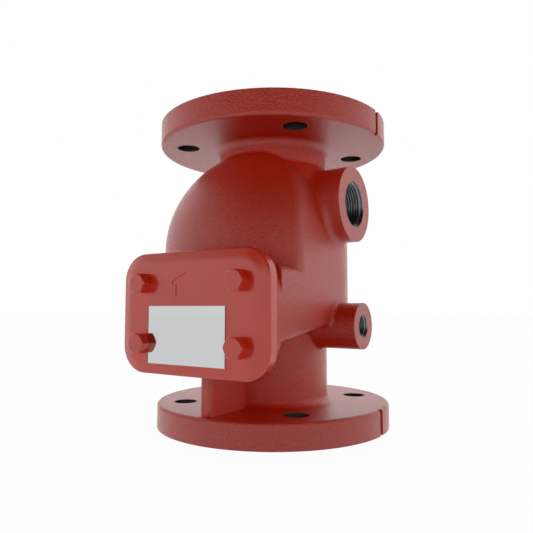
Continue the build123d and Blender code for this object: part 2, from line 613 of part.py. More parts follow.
seat_ring.part.label = "seat_ring"
export_step(seat_ring.part, "parts/seat_ring.step")

# Countersunk screws that hold the seat ring down
seat_screw = countersunk_screw(SEAT_SCREW_DIAMETER, SEAT_SCREW_HEAD_DIAMETER, SEAT_SCREW_LENGTH)
with BuildPart() as seat_ring_screws:
    with Locations(Plane.XY.offset(seat_top_z)):
        with PolarLocations(seat_screw_circle / 2, SEAT_SCREWS, start_angle=180 / SEAT_SCREWS):
            add(seat_screw)
seat_ring_screws.part.label = "seat_ring_screws"
export_step(seat_ring_screws.part, "parts/seat_ring_screws.step")

# O-rings above and below the alarm channel
for ring_name, ring_z in (("seat_oring_upper", ORING_UPPER_Z), ("seat_oring_lower", ORING_LOWER_Z)):
    with BuildPart() as seat_oring:
        with BuildSketch(Plane.XZ):
            with Locations((oring_radius, ring_z)):
                Circle(ORING_SECTION / 2)
        revolve(axis=Axis.Z)
    seat_oring.part.label = ring_name
    export_step(seat_oring.part, f"parts/{ring_name}.step")

# Clapper disc with its stud
with BuildPart() as clapper_disc:
    with BuildSketch(Plane.XZ):
        with BuildLine():
            Polyline((0, disc_z), (facing_outer_diameter / 2 + FACING_CLEARANCE, disc_z),
                (facing_outer_diameter / 2 + FACING_CLEARANCE, disc_z - DISC_SKIRT_DEPTH),
                (disc_diameter / 2, disc_z - DISC_SKIRT_DEPTH),
                (disc_diameter / 2, disc_top_z - DISC_RIM_DROP),
                (DISC_FLAT_DIAMETER / 2, disc_top_z), (STUD_DIAMETER / 2, disc_top_z),
                (STUD_DIAMETER / 2, stud_top_z - 1), (STUD_DIAMETER / 2 - 1, stud_top_z), (0, stud_top_z),
                (0, disc_z))
        make_face()
    revolve(axis=Axis.Z)
    with BuildSketch(Plane.XY.offset(disc_z)):
        with PolarLocations(RETAINER_SCREW_CIRCLE_DIAMETER / 2, RETAINER_SCREWS, start_angle=90):
            Circle(RETAINER_SCREW_DIAMETER / 2 + SOCKET_CLEARANCE)
    extrude(amount=RETAINER_SCREW_LENGTH - FACING_THICKNESS - RETAINER_THICKNESS + 0.5, mode=Mode.SUBTRACT)
    with BuildSketch(side_plane(-STUD_DIAMETER, cotter_z)):
        Circle(COTTER_DIAMETER / 2 + SCREW_CLEARANCE)
    extrude(amount=2 * STUD_DIAMETER, mode=Mode.SUBTRACT)
clapper_disc.part.label = "clapper_disc"
export_step(clapper_disc.part, "parts/clapper_disc.step")

# Rubber facing that closes on the seat
with BuildPart() as clapper_facing:
    with BuildSketch(Plane.XY.offset(facing_z)):
        Circle(facing_outer_diameter / 2)
        Circle(facing_inner_diameter / 2, mode=Mode.SUBTRACT)
    extrude(amount=FACING_THICKNESS)
clapper_facing.part.label = "clapper_facing"
export_step(clapper_facing.part, "parts/clapper_facing.step")

# Retainer that clamps the facing, hubbed to fit inside it
with BuildPart() as facing_retainer:
    with BuildSketch(Plane.XY.offset(retainer_z)):
        Circle(retainer_diameter / 2)
    extrude(amount=RETAINER_THICKNESS)
    with BuildSketch(Plane.XY.offset(facing_z)):
        Circle(facing_inner_diameter / 2 - SCREW_CLEARANCE)
    extrude(amount=FACING_THICKNESS)
    with Locations(Plane(origin=(0, 0, retainer_z), x_dir=(1, 0, 0), z_dir=(0, 0, -1))):
        with PolarLocations(RETAINER_SCREW_CIRCLE_DIAMETER / 2, RETAINER_SCREWS, start_angle=-90):
            CounterSinkHole(RETAINER_SCREW_DIAMETER / 2 + SCREW_CLEARANCE,
                RETAINER_SCREW_HEAD_DIAMETER / 2 + SCREW_CLEARANCE,
                RETAINER_THICKNESS + FACING_THICKNESS + 1, 90)
facing_retainer.part.label = "facing_retainer"
export_step(facing_retainer.part, "parts/facing_retainer.step")

retainer_screw = countersunk_screw(RETAINER_SCREW_DIAMETER, RETAINER_SCREW_HEAD_DIAMETER,
    RETAINER_SCREW_LENGTH)
with BuildPart() as retainer_screws:
    with Locations(Plane(origin=(0, 0, retainer_z), x_dir=(1, 0, 0), z_dir=(0, 0, -1))):
        with PolarLocations(RETAINER_SCREW_CIRCLE_DIAMETER / 2, RETAINER_SCREWS, start_angle=-90):
            add(retainer_screw)
retainer_screws.part.label = "retainer_screws"
export_step(retainer_screws.part, "parts/retainer_screws.step")

# Arm: a boss on the stud and a fork of two hubs on the hinge pin
with BuildPart() as clapper_arm:
    with BuildSketch(Plane.XY.offset(arm_z)):
        Circle(ARM_BOSS_DIAMETER / 2)
        with Locations((0, hinge_y - ARM_EAR_LENGTH)):
            Rectangle(2 * hub_outer_x, 1)
        make_hull()
        with Locations((0, hinge_y - ARM_EAR_LENGTH / 2)):
            Rectangle(2 * hub_outer_x, ARM_EAR_LENGTH)
    extrude(amount=ARM_THICKNESS)
    # Rib along the middle of the arm
    with BuildSketch(Plane.XY.offset(arm_top_z)):
        with Locations((0, (ARM_BOSS_DIAMETER / 2 + hinge_y) / 2)):
            Rectangle(ARM_RIB_WIDTH, hinge_y - ARM_BOSS_DIAMETER / 2)
    extrude(amount=ARM_RIB_HEIGHT)
    with BuildSketch(side_plane(-hub_outer_x, HINGE_Z, hinge_y)):
        Circle(HUB_DIAMETER / 2)
    extrude(amount=2 * hub_outer_x)
    # Room for the spring between the hubs
    with BuildSketch(side_plane(-hub_inner_x, HINGE_Z, hinge_y)):
        Circle(spring_room_radius)
    extrude(amount=HUB_GAP, mode=Mode.SUBTRACT)
    with BuildSketch(side_plane(-hub_outer_x, HINGE_Z, hinge_y)):
        Circle(bush_radius)
    extrude(amount=2 * hub_outer_x, mode=Mode.SUBTRACT)
    with BuildSketch(Plane.XY.offset(arm_z)):
        Circle(STUD_DIAMETER / 2 + STUD_CLEARANCE)
    extrude(amount=ARM_THICKNESS, mode=Mode.SUBTRACT)
clapper_arm.part.label = "clapper_arm"
export_step(clapper_arm.part, "parts/clapper_arm.step")

# Bushings pressed into the two hubs
for bush_name, bush_x in (("arm_bushing_left", -hub_outer_x), ("arm_bushing_right", hub_inner_x)):
    with BuildPart() as arm_bushing:
        with BuildSketch(side_plane(bush_x, HINGE_Z, hinge_y)):
            Circle(bush_radius)
            Circle(PIN_DIAMETER / 2 + RUNNING_FIT, mode=Mode.SUBTRACT)
        extrude(amount=HUB_LENGTH)
    arm_bushing.part.label = bush_name
    export_step(arm_bushing.part, f"parts/{bush_name}.step")

# Washer, nut and split pin on the stud
with BuildPart() as stud_washer:
    with BuildSketch(Plane.XY.offset(arm_top_z)):
        Circle(WASHER_DIAMETER / 2)
        Circle(STUD_DIAMETER / 2 + STUD_CLEARANCE, mode=Mode.SUBTRACT)
    extrude(amount=WASHER_THICKNESS)
stud_washer.part.label = "stud_washer"
export_step(stud_washer.part, "parts/stud_washer.step")

nut_blank = hexagon_solid(NUT_FLATS, NUT_HEIGHT)
with BuildPart() as stud_nut:
    with Locations(Plane.XY.offset(nut_z)):
        add(nut_blank)
        Hole(STUD_DIAMETER / 2 + SOCKET_CLEARANCE)
stud_nut.part.label = "stud_nut"
export_step(stud_nut.part, "parts/stud_nut.step")

with BuildPart() as stud_split_pin:
    with BuildSketch(side_plane(-(STUD_DIAMETER / 2 + COTTER_DIAMETER), cotter_z)):
        Circle(COTTER_DIAMETER / 2)
    extrude(amount=STUD_DIAMETER + 1.5 * COTTER_DIAMETER)
    # The bent ends of its two legs
    for sign in (-1, 1):
        leg_slope = (cos(radians(COTTER_SPREAD)), sign * sin(radians(COTTER_SPREAD)), 0)
        with BuildSketch(Plane(origin=((STUD_DIAMETER + COTTER_DIAMETER) / 2, 0, cotter_z), z_dir=leg_slope)):
            Circle(COTTER_DIAMETER / 3)
        extrude(amount=COTTER_LEG)
    # Its eye
    with Locations((-(STUD_DIAMETER + 3 * COTTER_DIAMETER) / 2, 0, cotter_z)):
        Torus(COTTER_DIAMETER * 0.75, COTTER_DIAMETER * 0.4)
stud_split_pin.part.label = "stud_split_pin"
export_step(stud_split_pin.part, "parts/stud_split_pin.step")

# Hinge pin, grooved for a clip at each end
with BuildPart() as hinge_pin:
    with BuildSketch(side_plane(-PIN_LENGTH / 2, HINGE_Z, hinge_y)):
        Circle(PIN_DIAMETER / 2)
    extrude(amount=PIN_LENGTH)
    chamfer(hinge_pin.edges().filter_by(GeomType.CIRCLE), CLIP_GROOVE_DEPTH)
    for sign in (-1, 1):
        with BuildSketch(side_plane(sign * clip_x, HINGE_Z, hinge_y)):
            Circle(PIN_DIAMETER)
            Circle(PIN_DIAMETER / 2 - CLIP_GROOVE_DEPTH, mode=Mode.SUBTRACT)
        extrude(amount=sign * (CLIP_THICKNESS + SCREW_CLEARANCE), mode=Mode.SUBTRACT)
hinge_pin.part.label = "hinge_pin"
export_step(hinge_pin.part, "parts/hinge_pin.step")

# Open retaining clips in the pin's grooves
for clip_name, sign in (("pin_clip_left", -1), ("pin_clip_right", 1)):
    with BuildPart() as pin_clip:
        with BuildSketch(side_plane(sign * clip_x, HINGE_Z, hinge_y)):
            Circle(CLIP_DIAMETER / 2)
            Circle(PIN_DIAMETER / 2 - CLIP_GROOVE_DEPTH + SOCKET_CLEARANCE, mode=Mode.SUBTRACT)
            with Locations((0, CLIP_DIAMETER / 2)):
                Rectangle(PIN_DIAMETER / 2, CLIP_DIAMETER, mode=Mode.SUBTRACT)
        extrude(amount=sign * CLIP_THICKNESS)
    pin_clip.part.label = clip_name
    export_step(pin_clip.part, f"parts/{clip_name}.step")

# Spring that closes the clapper: a coil round the pin, a leg over the arm and a leg at the wall
hinge_axis = Axis((0, hinge_y, HINGE_Z), (1, 0, 0))
coil = Helix(SPRING_PITCH, coil_length, coil_radius, center=(-coil_length / 2, hinge_y, HINGE_Z),
    direction=(1, 0, 0), lefthand=True, mode=Mode.PRIVATE).rotate(hinge_axis, SPRING_FRONT_ANGLE - 90)
front_slope = Vector(0, -sin(radians(SPRING_FRONT_ANGLE)), cos(radians(SPRING_FRONT_ANGLE)))
rear_slope = Vector(0, sin(radians(SPRING_REAR_ANGLE)), -cos(radians(SPRING_REAR_ANGLE)))
wall_y = sqrt(inner_radius**2 - (coil_length / 2)**2)
front_reach = ((coil @ 0).Z + SPRING_WIRE / 2 * front_slope.Y - arm_top_z - SIDE_CLEARANCE) / -front_slope.Z
rear_reach = (wall_y - SIDE_CLEARANCE - SPRING_WIRE / 2 * rear_slope.Z - (coil @ 1).Y) / rear_slope.Y
with BuildPart() as closing_spring:
    with BuildSketch(Plane(origin=coil @ 0, z_dir=coil % 0)):
        Circle(SPRING_WIRE / 2)
    sweep(path=coil, is_frenet=True)
    for bend, slope, reach in ((coil @ 0, front_slope, front_reach), (coil @ 1, rear_slope, rear_reach)):
        with Locations(bend):
            Sphere(SPRING_WIRE / 2 * SPRING_BEND_SWELL)
        with BuildSketch(Plane(origin=bend, z_dir=slope)):
            Circle(SPRING_WIRE / 2)
        extrude(amount=reach)
closing_spring.part.label = "closing_spring"
export_step(closing_spring.part, "parts/closing_spring.step")
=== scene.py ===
"""Finishes, port threads, flow arrow and closing spring of a sprinkler alarm valve, and its studio."""
import json
import math

import bmesh
import bpy
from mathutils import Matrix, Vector


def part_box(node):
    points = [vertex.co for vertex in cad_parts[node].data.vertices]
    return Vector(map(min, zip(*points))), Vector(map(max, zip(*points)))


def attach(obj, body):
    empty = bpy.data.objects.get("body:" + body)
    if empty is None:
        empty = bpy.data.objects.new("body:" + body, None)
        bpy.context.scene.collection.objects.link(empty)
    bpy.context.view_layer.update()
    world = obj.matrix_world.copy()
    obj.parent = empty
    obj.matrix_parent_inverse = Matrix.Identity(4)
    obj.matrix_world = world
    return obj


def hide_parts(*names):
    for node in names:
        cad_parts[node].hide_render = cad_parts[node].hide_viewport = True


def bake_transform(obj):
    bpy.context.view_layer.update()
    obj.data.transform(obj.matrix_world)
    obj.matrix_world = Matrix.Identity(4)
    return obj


bl_info = {
    "name": "Sprinkler alarm valve",
    "version": (1, 0, 0),
    "blender": (4, 5, 0),
    "location": "3D View > Sidebar > Valve",
    "description": "Dresses the flanged alarm valve in its paint and metal finishes",
    "category": "Object",
}

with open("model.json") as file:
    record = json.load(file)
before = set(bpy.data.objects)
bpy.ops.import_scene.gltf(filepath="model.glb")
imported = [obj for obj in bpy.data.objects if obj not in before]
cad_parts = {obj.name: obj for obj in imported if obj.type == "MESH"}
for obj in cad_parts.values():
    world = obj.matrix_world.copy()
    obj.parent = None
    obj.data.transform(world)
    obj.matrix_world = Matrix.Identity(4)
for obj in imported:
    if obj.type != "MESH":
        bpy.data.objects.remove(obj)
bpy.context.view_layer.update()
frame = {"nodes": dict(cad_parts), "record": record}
NODES = frame["nodes"]
MM = 0.001

# Places and sizes of the drilled holes, read from the frame's record
MOUNTS = {m["name"]: m for m in frame["record"]["mounts"]}
BOLT_HOLE_TURN = math.radians(45)
FLANGE_THICKNESS = 20.0 * MM
# The near-black colour of the holes, bare iron with their shade painted in, reaches this far past the
# holes' walls and ends, so that no paint shows in them
HOLE_EDGE = 0.15 * MM

# Points of a copied solid that are closer than this are one
WELD_DISTANCE = 0.001 * MM
# Faces within this angle of each other are one flat face
FLAT_LIMIT = math.radians(0.1)
# Faces that meet at less than this angle belong to one round surface
ROUND_LIMIT = math.radians(30)
# Decimals of a metre to which two corners are the same place
PLACE_DECIMALS = 6

# Grain of the finishes
GRAIN_DETAIL = 3.0
GRAIN_ROUGHNESS = 0.55
PAINT_FLOW_WIDTH = 2.2 * MM
PAINT_FLOW_DEPTH = 0.02 * MM
TOOL_MARK_WIDTH = 0.6 * MM
TOOL_MARK_DEPTH = 0.012 * MM
ROLLED_MARK_DEPTH = 0.002 * MM
RUBBER_GRAIN_WIDTH = 0.8 * MM
RUBBER_GRAIN_DEPTH = 0.02 * MM
RUBBER_ROUGHNESS = 0.6

# Paint over the casting and the cover
CAST_PAINT_IOR = 1.63
SMOOTH_PAINT_IOR = 1.6
SPECKLE_DETAIL = 1.0
# Values of the noise where the paint is darkest and where it is lightest
SPECKLE_LOW = 0.3
SPECKLE_HIGH = 0.7

# Colours that several pieces share
STEEL_COLOUR = (0.55, 0.55, 0.54)
RUBBER_COLOUR = (0.02, 0.02, 0.02)
WHITE = (1, 1, 1, 1)

# Sockets of a Mix node for colours, whose names repeat
MIX_FACTOR = 0
MIX_FIRST = 6
MIX_SECOND = 7
MIX_RESULT = 2


class PaintProperties(bpy.types.PropertyGroup):
    """Finish of the painted casting, the cover and its bolts."""
    colour: bpy.props.FloatVectorProperty(
        name="Paint", description="Colour of the red paint", subtype="COLOR", size=3, min=0, max=1,
        default=(0.70, 0.027, 0.002))
    cover_colour: bpy.props.FloatVectorProperty(
        name="Cover paint", description="Colour of the paint on the cover and its bolts",
        subtype="COLOR", size=3, min=0, max=1, default=(0.86, 0.042, 0.011))
    roughness: bpy.props.FloatProperty(
        name="Casting roughness", description="Roughness of the paint over cast iron",
        default=0.18, min=0, max=1)
    cover_roughness: bpy.props.FloatProperty(
        name="Cover roughness", description="Roughness of the paint on the cover",
        default=0.26, min=0, max=1)
    cover_coat: bpy.props.FloatProperty(
        name="Cover coat", description="Weight of the clear layer over the cover's paint",
        default=0.4, min=0, max=1)
    cover_coat_roughness: bpy.props.FloatProperty(
        name="Cover coat roughness", description="Roughness of the clear layer over the cover's paint",
        default=0.1, min=0, max=1)
    grain_size: bpy.props.FloatProperty(
        name="Grain size", description="Width of one grain of the sand-cast surface", unit="LENGTH",
        default=1.1 * MM)
    grain_height: bpy.props.FloatProperty(
        name="Grain height", description="Height of the sand-cast grain under the paint", unit="LENGTH",
        default=0.85 * MM)
    speckle_size: bpy.props.FloatProperty(
        name="Speckle size", description="Width of one light or dark speckle of the cast paint",
        unit="LENGTH", default=0.9 * MM)
    speckle_depth: bpy.props.FloatProperty(
        name="Speckle depth", description="How much darker and lighter the speckles are than the paint",
        default=0.17, min=0, max=1)
    # Bare iron darkened to near black: the shade inside the bolt holes is painted into this colour
    hole_iron_and_shade: bpy.props.FloatVectorProperty(
        name="Drilled iron", description="Colour of the bare iron inside the bolt holes",
        subtype="COLOR", size=3, min=0, max=1, default=(0.009, 0.009, 0.009))


class ThreadProperties(bpy.types.PropertyGroup):
    """Pipe threads in the two ports."""
    drain_pitch: bpy.props.FloatProperty(
        name="Drain thread pitch", description="11 turns to the inch", unit="LENGTH", default=2.309 * MM)
    alarm_pitch: bpy.props.FloatProperty(
        name="Alarm thread pitch", description="14 turns to the inch", unit="LENGTH", default=1.814 * MM)
    depth_share: bpy.props.FloatProperty(
        name="Thread depth", description="Height of the thread as a share of its pitch", default=0.64)
    colour: bpy.props.FloatVectorProperty(
        name="Bare iron", description="Colour of the machined iron in the ports",
        subtype="COLOR", size=3, min=0, max=1, default=(0.2, 0.204, 0.21))
    roughness: bpy.props.FloatProperty(
        name="Bare iron roughness", description="Roughness of the machined iron in the ports",
        default=0.22, min=0, max=1)


class ArrowProperties(bpy.types.PropertyGroup):
    """Flow arrow sunk into the face of the cover."""
    middle_x: bpy.props.FloatProperty(
        name="Middle", description="Place of the arrow's middle line", unit="LENGTH", default=-3.0 * MM)
    foot_z: bpy.props.FloatProperty(
        name="Foot", description="Height of the shaft's foot", unit="LENGTH", default=107.4 * MM)
    shaft_width: bpy.props.FloatProperty(
        name="Shaft width", description="Width of the shaft", unit="LENGTH", default=18.8 * MM)
    head_z: bpy.props.FloatProperty(
        name="Head", description="Height where the head starts", unit="LENGTH", default=116.6 * MM)
    head_width: bpy.props.FloatProperty(
        name="Head width", description="Width of the head", unit="LENGTH", default=25.8 * MM)
    head_side: bpy.props.FloatProperty(
        name="Head side", description="Height of the head's upright sides", unit="LENGTH",
        default=2.6 * MM)
    tip_z: bpy.props.FloatProperty(
        name="Tip", description="Height of the arrow's tip", unit="LENGTH", default=124.9 * MM)
    depth: bpy.props.FloatProperty(
        name="Depth", description="How far the arrow is sunk into the cover", unit="LENGTH",
        default=0.6 * MM)


class StageProperties(bpy.types.PropertyGroup):
    """Camera, floor and light."""
    camera_place: bpy.props.FloatVectorProperty(
        name="Camera", description="Place of the camera", subtype="TRANSLATION", unit="LENGTH", size=3,
        default=(0.2483, -0.4013, 0.1001))
    camera_heading: bpy.props.FloatProperty(
        name="Heading", description="Turn of the camera from +Y towards -X", unit="ROTATION",
        default=math.radians(32.42))
    camera_pitch: bpy.props.FloatProperty(
        name="Pitch", description="Upward tilt of the camera", unit="ROTATION",
        default=math.radians(4.42))
    camera_lens: bpy.props.FloatProperty(
        name="Lens", description="Focal length in millimetres", default=35.46)
    camera_sensor: bpy.props.FloatProperty(
        name="Sensor", description="Width of the camera's sensor in millimetres", default=36.0)
    camera_near: bpy.props.FloatProperty(
        name="Nearest", description="Distance from which the camera sees", unit="LENGTH",
        default=10.0 * MM)
    sky_level: bpy.props.FloatProperty(
        name="Sky", description="Level of the light from all around", default=1.05)
    dark_level: bpy.props.FloatProperty(
        name="Dark patch", description="Level of the unlit patch overhead", default=0.02)
    dark_toward: bpy.props.FloatVectorProperty(
        name="Dark patch towards", description="Direction of the middle of the unlit patch",
        subtype="DIRECTION", size=3, default=(0.16, -0.3, 0.94))
    dark_core: bpy.props.FloatProperty(
        name="Dark core", description="Angle from its middle to where the patch starts to brighten",
        unit="ROTATION", default=math.radians(44))
    dark_reach: bpy.props.FloatProperty(
        name="Dark reach", description="Angle from its middle to where the patch ends", unit="ROTATION",
        default=math.radians(68))
    floor_size: bpy.props.FloatProperty(
        name="Floor", description="Side of the square floor", unit="LENGTH", default=12.0)
    floor_grey: bpy.props.FloatProperty(
        name="Floor grey", description="How pale the floor is to the light it throws on the object",
        default=0.8, min=0, max=1)
    floor_roughness: bpy.props.FloatProperty(
        name="Floor roughness", description="Roughness of the floor", default=0.9, min=0, max=1)
    floor_glow: bpy.props.FloatProperty(
        name="Floor glow", description="Level of the floor to the camera and in reflections",
        default=0.95)
    floor_shadow: bpy.props.FloatProperty(
        name="Floor shadow", description="How much of the object's shadow shows on the floor",
        default=0.1, min=0, max=1)


def shader(name):
    """A new node material with its Principled shader, its nodes and its links."""
    material = bpy.data.materials.new(name)
    material.use_nodes = True
    nodes = material.node_tree.nodes
    return material, nodes["Principled BSDF"], nodes, material.node_tree.links


def set_sockets(node, **values):
    """Sets sockets of a node by their names, with an underscore for each space."""
    for name, value in values.items():
        node.inputs[name.replace("_", " ")].default_value = value


def add_node(nodes, kind, **settings):
    """A node of the given kind with its settings; a setting named as a socket sets that socket."""
    node = nodes.new(kind)
    for key, value in settings.items():
        if hasattr(node, key):
            setattr(node, key, value)
        else:
            set_sockets(node, **{key: value})
    return node


def add_vector_math(nodes, links, operation, source, fixed=(0, 0, 0)):
    """A vector math node on a linked socket and a fixed vector."""
    node = add_node(nodes, "ShaderNodeVectorMath", operation=operation)
    node.inputs[1].default_value = fixed
    links.new(source, node.inputs[0])
    return node


def add_grain(surface, nodes, links, width, depth):
    """Gives a surface a fine irregular grain, in metres."""
    place = add_node(nodes, "ShaderNodeTexCoord")
    fine = add_node(nodes, "ShaderNodeTexNoise", Scale=1 / width, Detail=GRAIN_DETAIL,
        Roughness=GRAIN_ROUGHNESS)
    bump = add_node(nodes, "ShaderNodeBump", Strength=1.0, Distance=depth)
    links.new(place.outputs["Object"], fine.inputs["Vector"])
    links.new(fine.outputs["Fac"], bump.inputs["Height"])
    links.new(bump.outputs["Normal"], surface.inputs["Normal"])


def hole_shade_mask(nodes, links):
    """1 inside the bolt holes of both flanges, where their shade is painted, and 0 elsewhere, in the
    object's own metres.
    """
    bolts = MOUNTS["inlet_bolts"]["dims"]
    bolt_x = bolts["pcd_mm"] * MM / 2 * math.sin(BOLT_HOLE_TURN)
    half_height = MOUNTS["outlet_bolts"]["pos_m"][2] / 2
    place = add_node(nodes, "ShaderNodeTexCoord")
    centred = add_vector_math(nodes, links, "SUBTRACT", place.outputs["Object"], (0, 0, half_height))
    # All eight holes fold onto one, by symmetry
    folded = add_vector_math(nodes, links, "ABSOLUTE", centred.outputs["Vector"])
    offset = add_vector_math(nodes, links, "SUBTRACT", folded.outputs["Vector"],
        (bolt_x, bolt_x, half_height))
    flat = add_vector_math(nodes, links, "MULTIPLY", offset.outputs["Vector"], (1, 1, 0))
    reach = add_vector_math(nodes, links, "LENGTH", flat.outputs["Vector"])
    near = add_node(nodes, "ShaderNodeMath", operation="LESS_THAN")
    near.inputs[1].default_value = bolts["hole_r_mm"] * MM + HOLE_EDGE
    parts = add_node(nodes, "ShaderNodeSeparateXYZ")
    in_flange = add_node(nodes, "ShaderNodeMath", operation="GREATER_THAN")
    in_flange.inputs[1].default_value = -FLANGE_THICKNESS - HOLE_EDGE
    both = add_node(nodes, "ShaderNodeMath", operation="MULTIPLY")
    links.new(reach.outputs["Value"], near.inputs[0])
    links.new(offset.outputs["Vector"], parts.inputs[0])
    links.new(parts.outputs["Z"], in_flange.inputs[0])
    links.new(near.outputs[0], both.inputs[0])
    links.new(in_flange.outputs[0], both.inputs[1])
    return both.outputs[0]


def cast_paint(props):
    """Red paint over sand-cast iron, with bare iron darkened to near black by painted shade in the
    drilled bolt holes.
    """
    material, surface, nodes, links = shader("cast_red_paint")
    place = add_node(nodes, "ShaderNodeTexCoord")
    speckle = add_node(nodes, "ShaderNodeTexNoise", Scale=1 / props.speckle_size, Detail=SPECKLE_DETAIL)
    share = add_node(nodes, "ShaderNodeMapRange", From_Min=SPECKLE_LOW, From_Max=SPECKLE_HIGH)
    dark = [c * (1 - props.speckle_depth) for c in props.colour]
    light = [min(1, c * (1 + props.speckle_depth)) for c in props.colour]
    paint = add_node(nodes, "ShaderNodeMix", data_type="RGBA")
    paint.inputs[MIX_FIRST].default_value = (*dark, 1)
    paint.inputs[MIX_SECOND].default_value = (*light, 1)
    colour = add_node(nodes, "ShaderNodeMix", data_type="RGBA")
    # The bolt holes take the near-black iron, which paints the shade inside them
    colour.inputs[MIX_SECOND].default_value = (*props.hole_iron_and_shade, 1)
    links.new(place.outputs["Object"], speckle.inputs["Vector"])
    links.new(speckle.outputs["Fac"], share.inputs["Value"])
    links.new(share.outputs["Result"], paint.inputs[MIX_FACTOR])
    links.new(paint.outputs[MIX_RESULT], colour.inputs[MIX_FIRST])
    links.new(hole_shade_mask(nodes, links), colour.inputs[MIX_FACTOR])
    links.new(colour.outputs[MIX_RESULT], surface.inputs["Base Color"])
    set_sockets(surface, Roughness=props.roughness, IOR=CAST_PAINT_IOR)
    add_grain(surface, nodes, links, props.grain_size, props.grain_height)
    return material


def smooth_paint(props):
    """Red paint over a machined or fine cast surface."""
    material, surface, nodes, links = shader("smooth_red_paint")
    set_sockets(surface, Base_Color=(*props.cover_colour, 1), Roughness=props.cover_roughness,
        IOR=SMOOTH_PAINT_IOR, Coat_Weight=props.cover_coat, Coat_Roughness=props.cover_coat_roughness)
    add_grain(surface, nodes, links, PAINT_FLOW_WIDTH, PAINT_FLOW_DEPTH)
    return material


def metal(name, colour, roughness, mark_depth=TOOL_MARK_DEPTH):
    """A machined metal with fine tool marks of the given depth."""
    material, surface, nodes, links = shader(name)
    set_sockets(surface, Base_Color=(*colour, 1), Metallic=1.0, Roughness=roughness)
    add_grain(surface, nodes, links, TOOL_MARK_WIDTH, mark_depth)
    return material


def rubber(name, colour=RUBBER_COLOUR):
    """Moulded rubber or gasket sheet."""
    material, surface, nodes, links = shader(name)
    set_sockets(surface, Base_Color=(*colour, 1), Roughness=RUBBER_ROUGHNESS)
    add_grain(surface, nodes, links, RUBBER_GRAIN_WIDTH, RUBBER_GRAIN_DEPTH)
    return material


def finish_nodes(material, *names):
    """Gives one material to each of the named CAD nodes."""
    for name in names:
        materials = NODES[name].data.materials
        materials.clear()
        materials.append(material)


def new_object(name, bm):
    """A new mesh object in the scene, made from a bmesh, which is freed."""
    mesh = bpy.data.meshes.new(name)
    bm.to_mesh(mesh)
    bm.free()
    item = bpy.data.objects.new(name, mesh)
    bpy.context.scene.collection.objects.link(item)
    return item


def new_piece(name, bm, material, body="root"):
    """A new piece with its material, riding on a body unless that is None."""
    piece = new_object(name, bm)
    piece.data.materials.append(material)
    if body:
        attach(piece, body)
    return piece


def add_ring(bm, x, centre, radii):
    """A ring of vertices about a line along X through the centre, with a radius for each vertex."""
    ring = []
    for i, radius in enumerate(radii):
        angle = 2 * math.pi * i / len(radii)
        ring.append(bm.verts.new((x, centre[1] + radius * math.cos(angle),
            centre[2] + radius * math.sin(angle))))
    return ring


def thread_sleeve(mouth, radius, length, pitch, depth):
    """A closed sleeve with a helical thread inside, its mouth at the given point, facing +X."""
    around = 144
    steps_per_turn = 12
    skin = 0.03 * MM
    along = int(length / pitch * steps_per_turn)
    bm = bmesh.new()
    rings = []
    for j in range(along + 1):
        back = length * j / along
        # The first turn rises from nothing at the mouth
        lead = min(1.0, back / pitch)
        radii = []
        for i in range(around):
            phase = (back / pitch + i / around) % 1.0
            crest = 1 - 2 * abs(phase - 0.5)
            radii.append(radius - skin - depth * crest * lead)
        rings.append(add_ring(bm, mouth[0] - back, mouth, radii))
    for back in (length, 0):
        rings.append(add_ring(bm, mouth[0] - back, mouth, [radius - skin / 2] * around))
    for a, b in zip(rings, rings[1:] + rings[:1]):
        for i in range(around):
            k = (i + 1) % around
            bm.faces.new((a[i], a[k], b[k], b[i]))
    bmesh.ops.recalc_face_normals(bm, faces=bm.faces)
    for face in bm.faces:
        face.smooth = True
    return bm


def arrow_prism(props, face_y):
    """A closed prism with the arrow's outline, from below the cover's face to in front of it."""
    half_shaft = props.shaft_width / 2
    half_head = props.head_width / 2
    left = [(-half_shaft, props.foot_z), (-half_shaft, props.head_z), (-half_head, props.head_z),
        (-half_head, props.head_z + props.head_side)]
    outline = left + [(0, props.tip_z)] + [(-x, z) for x, z in reversed(left)]
    bm = bmesh.new()
    back = [bm.verts.new((props.middle_x + x, face_y + props.depth, z)) for x, z in outline]
    face = bm.faces.new(back)
    grown = bmesh.ops.extrude_face_region(bm, geom=[face])["geom"]
    bmesh.ops.translate(bm, verts=[v for v in grown if isinstance(v, bmesh.types.BMVert)],
        vec=(0, -2 * props.depth, 0))
    bmesh.ops.recalc_face_normals(bm, faces=bm.faces)
    return bm


def welded(node):
    """A closed bmesh of a CAD node, without its stored normals, which wouldn't fit a changed mesh."""
    source = node.data.copy()
    if "custom_normal" in source.attributes:
        source.attributes.remove(source.attributes["custom_normal"])
    whole = bmesh.new()
    whole.from_mesh(source)
    bpy.data.meshes.remove(source)
    whole.transform(node.matrix_world)
    bmesh.ops.remove_doubles(whole, verts=whole.verts, dist=WELD_DISTANCE)
    bmesh.ops.dissolve_degenerate(whole, dist=WELD_DISTANCE, edges=whole.edges)
    return whole


def carved(node, cutter_bm):
    """A bmesh of a CAD node with the cutter's shape taken out of it."""
    block = new_object("carved", welded(node))
    cutter = new_object("cutter", cutter_bm)
    cut = block.modifiers.new("arrow", "BOOLEAN")
    cut.operation = "DIFFERENCE"
    cut.solver = "EXACT"
    cut.object = cutter
    result = bmesh.new()
    result.from_object(block, bpy.context.evaluated_depsgraph_get())
    bpy.data.objects.remove(block)
    bpy.data.objects.remove(cutter)
    bmesh.ops.dissolve_limit(result, angle_limit=FLAT_LIMIT, verts=result.verts, edges=result.edges)
    return result


def place_key(place):
    """The place rounded, so that the same corner in two meshes has the same key."""
    return tuple(round(v, PLACE_DECIMALS) for v in place)


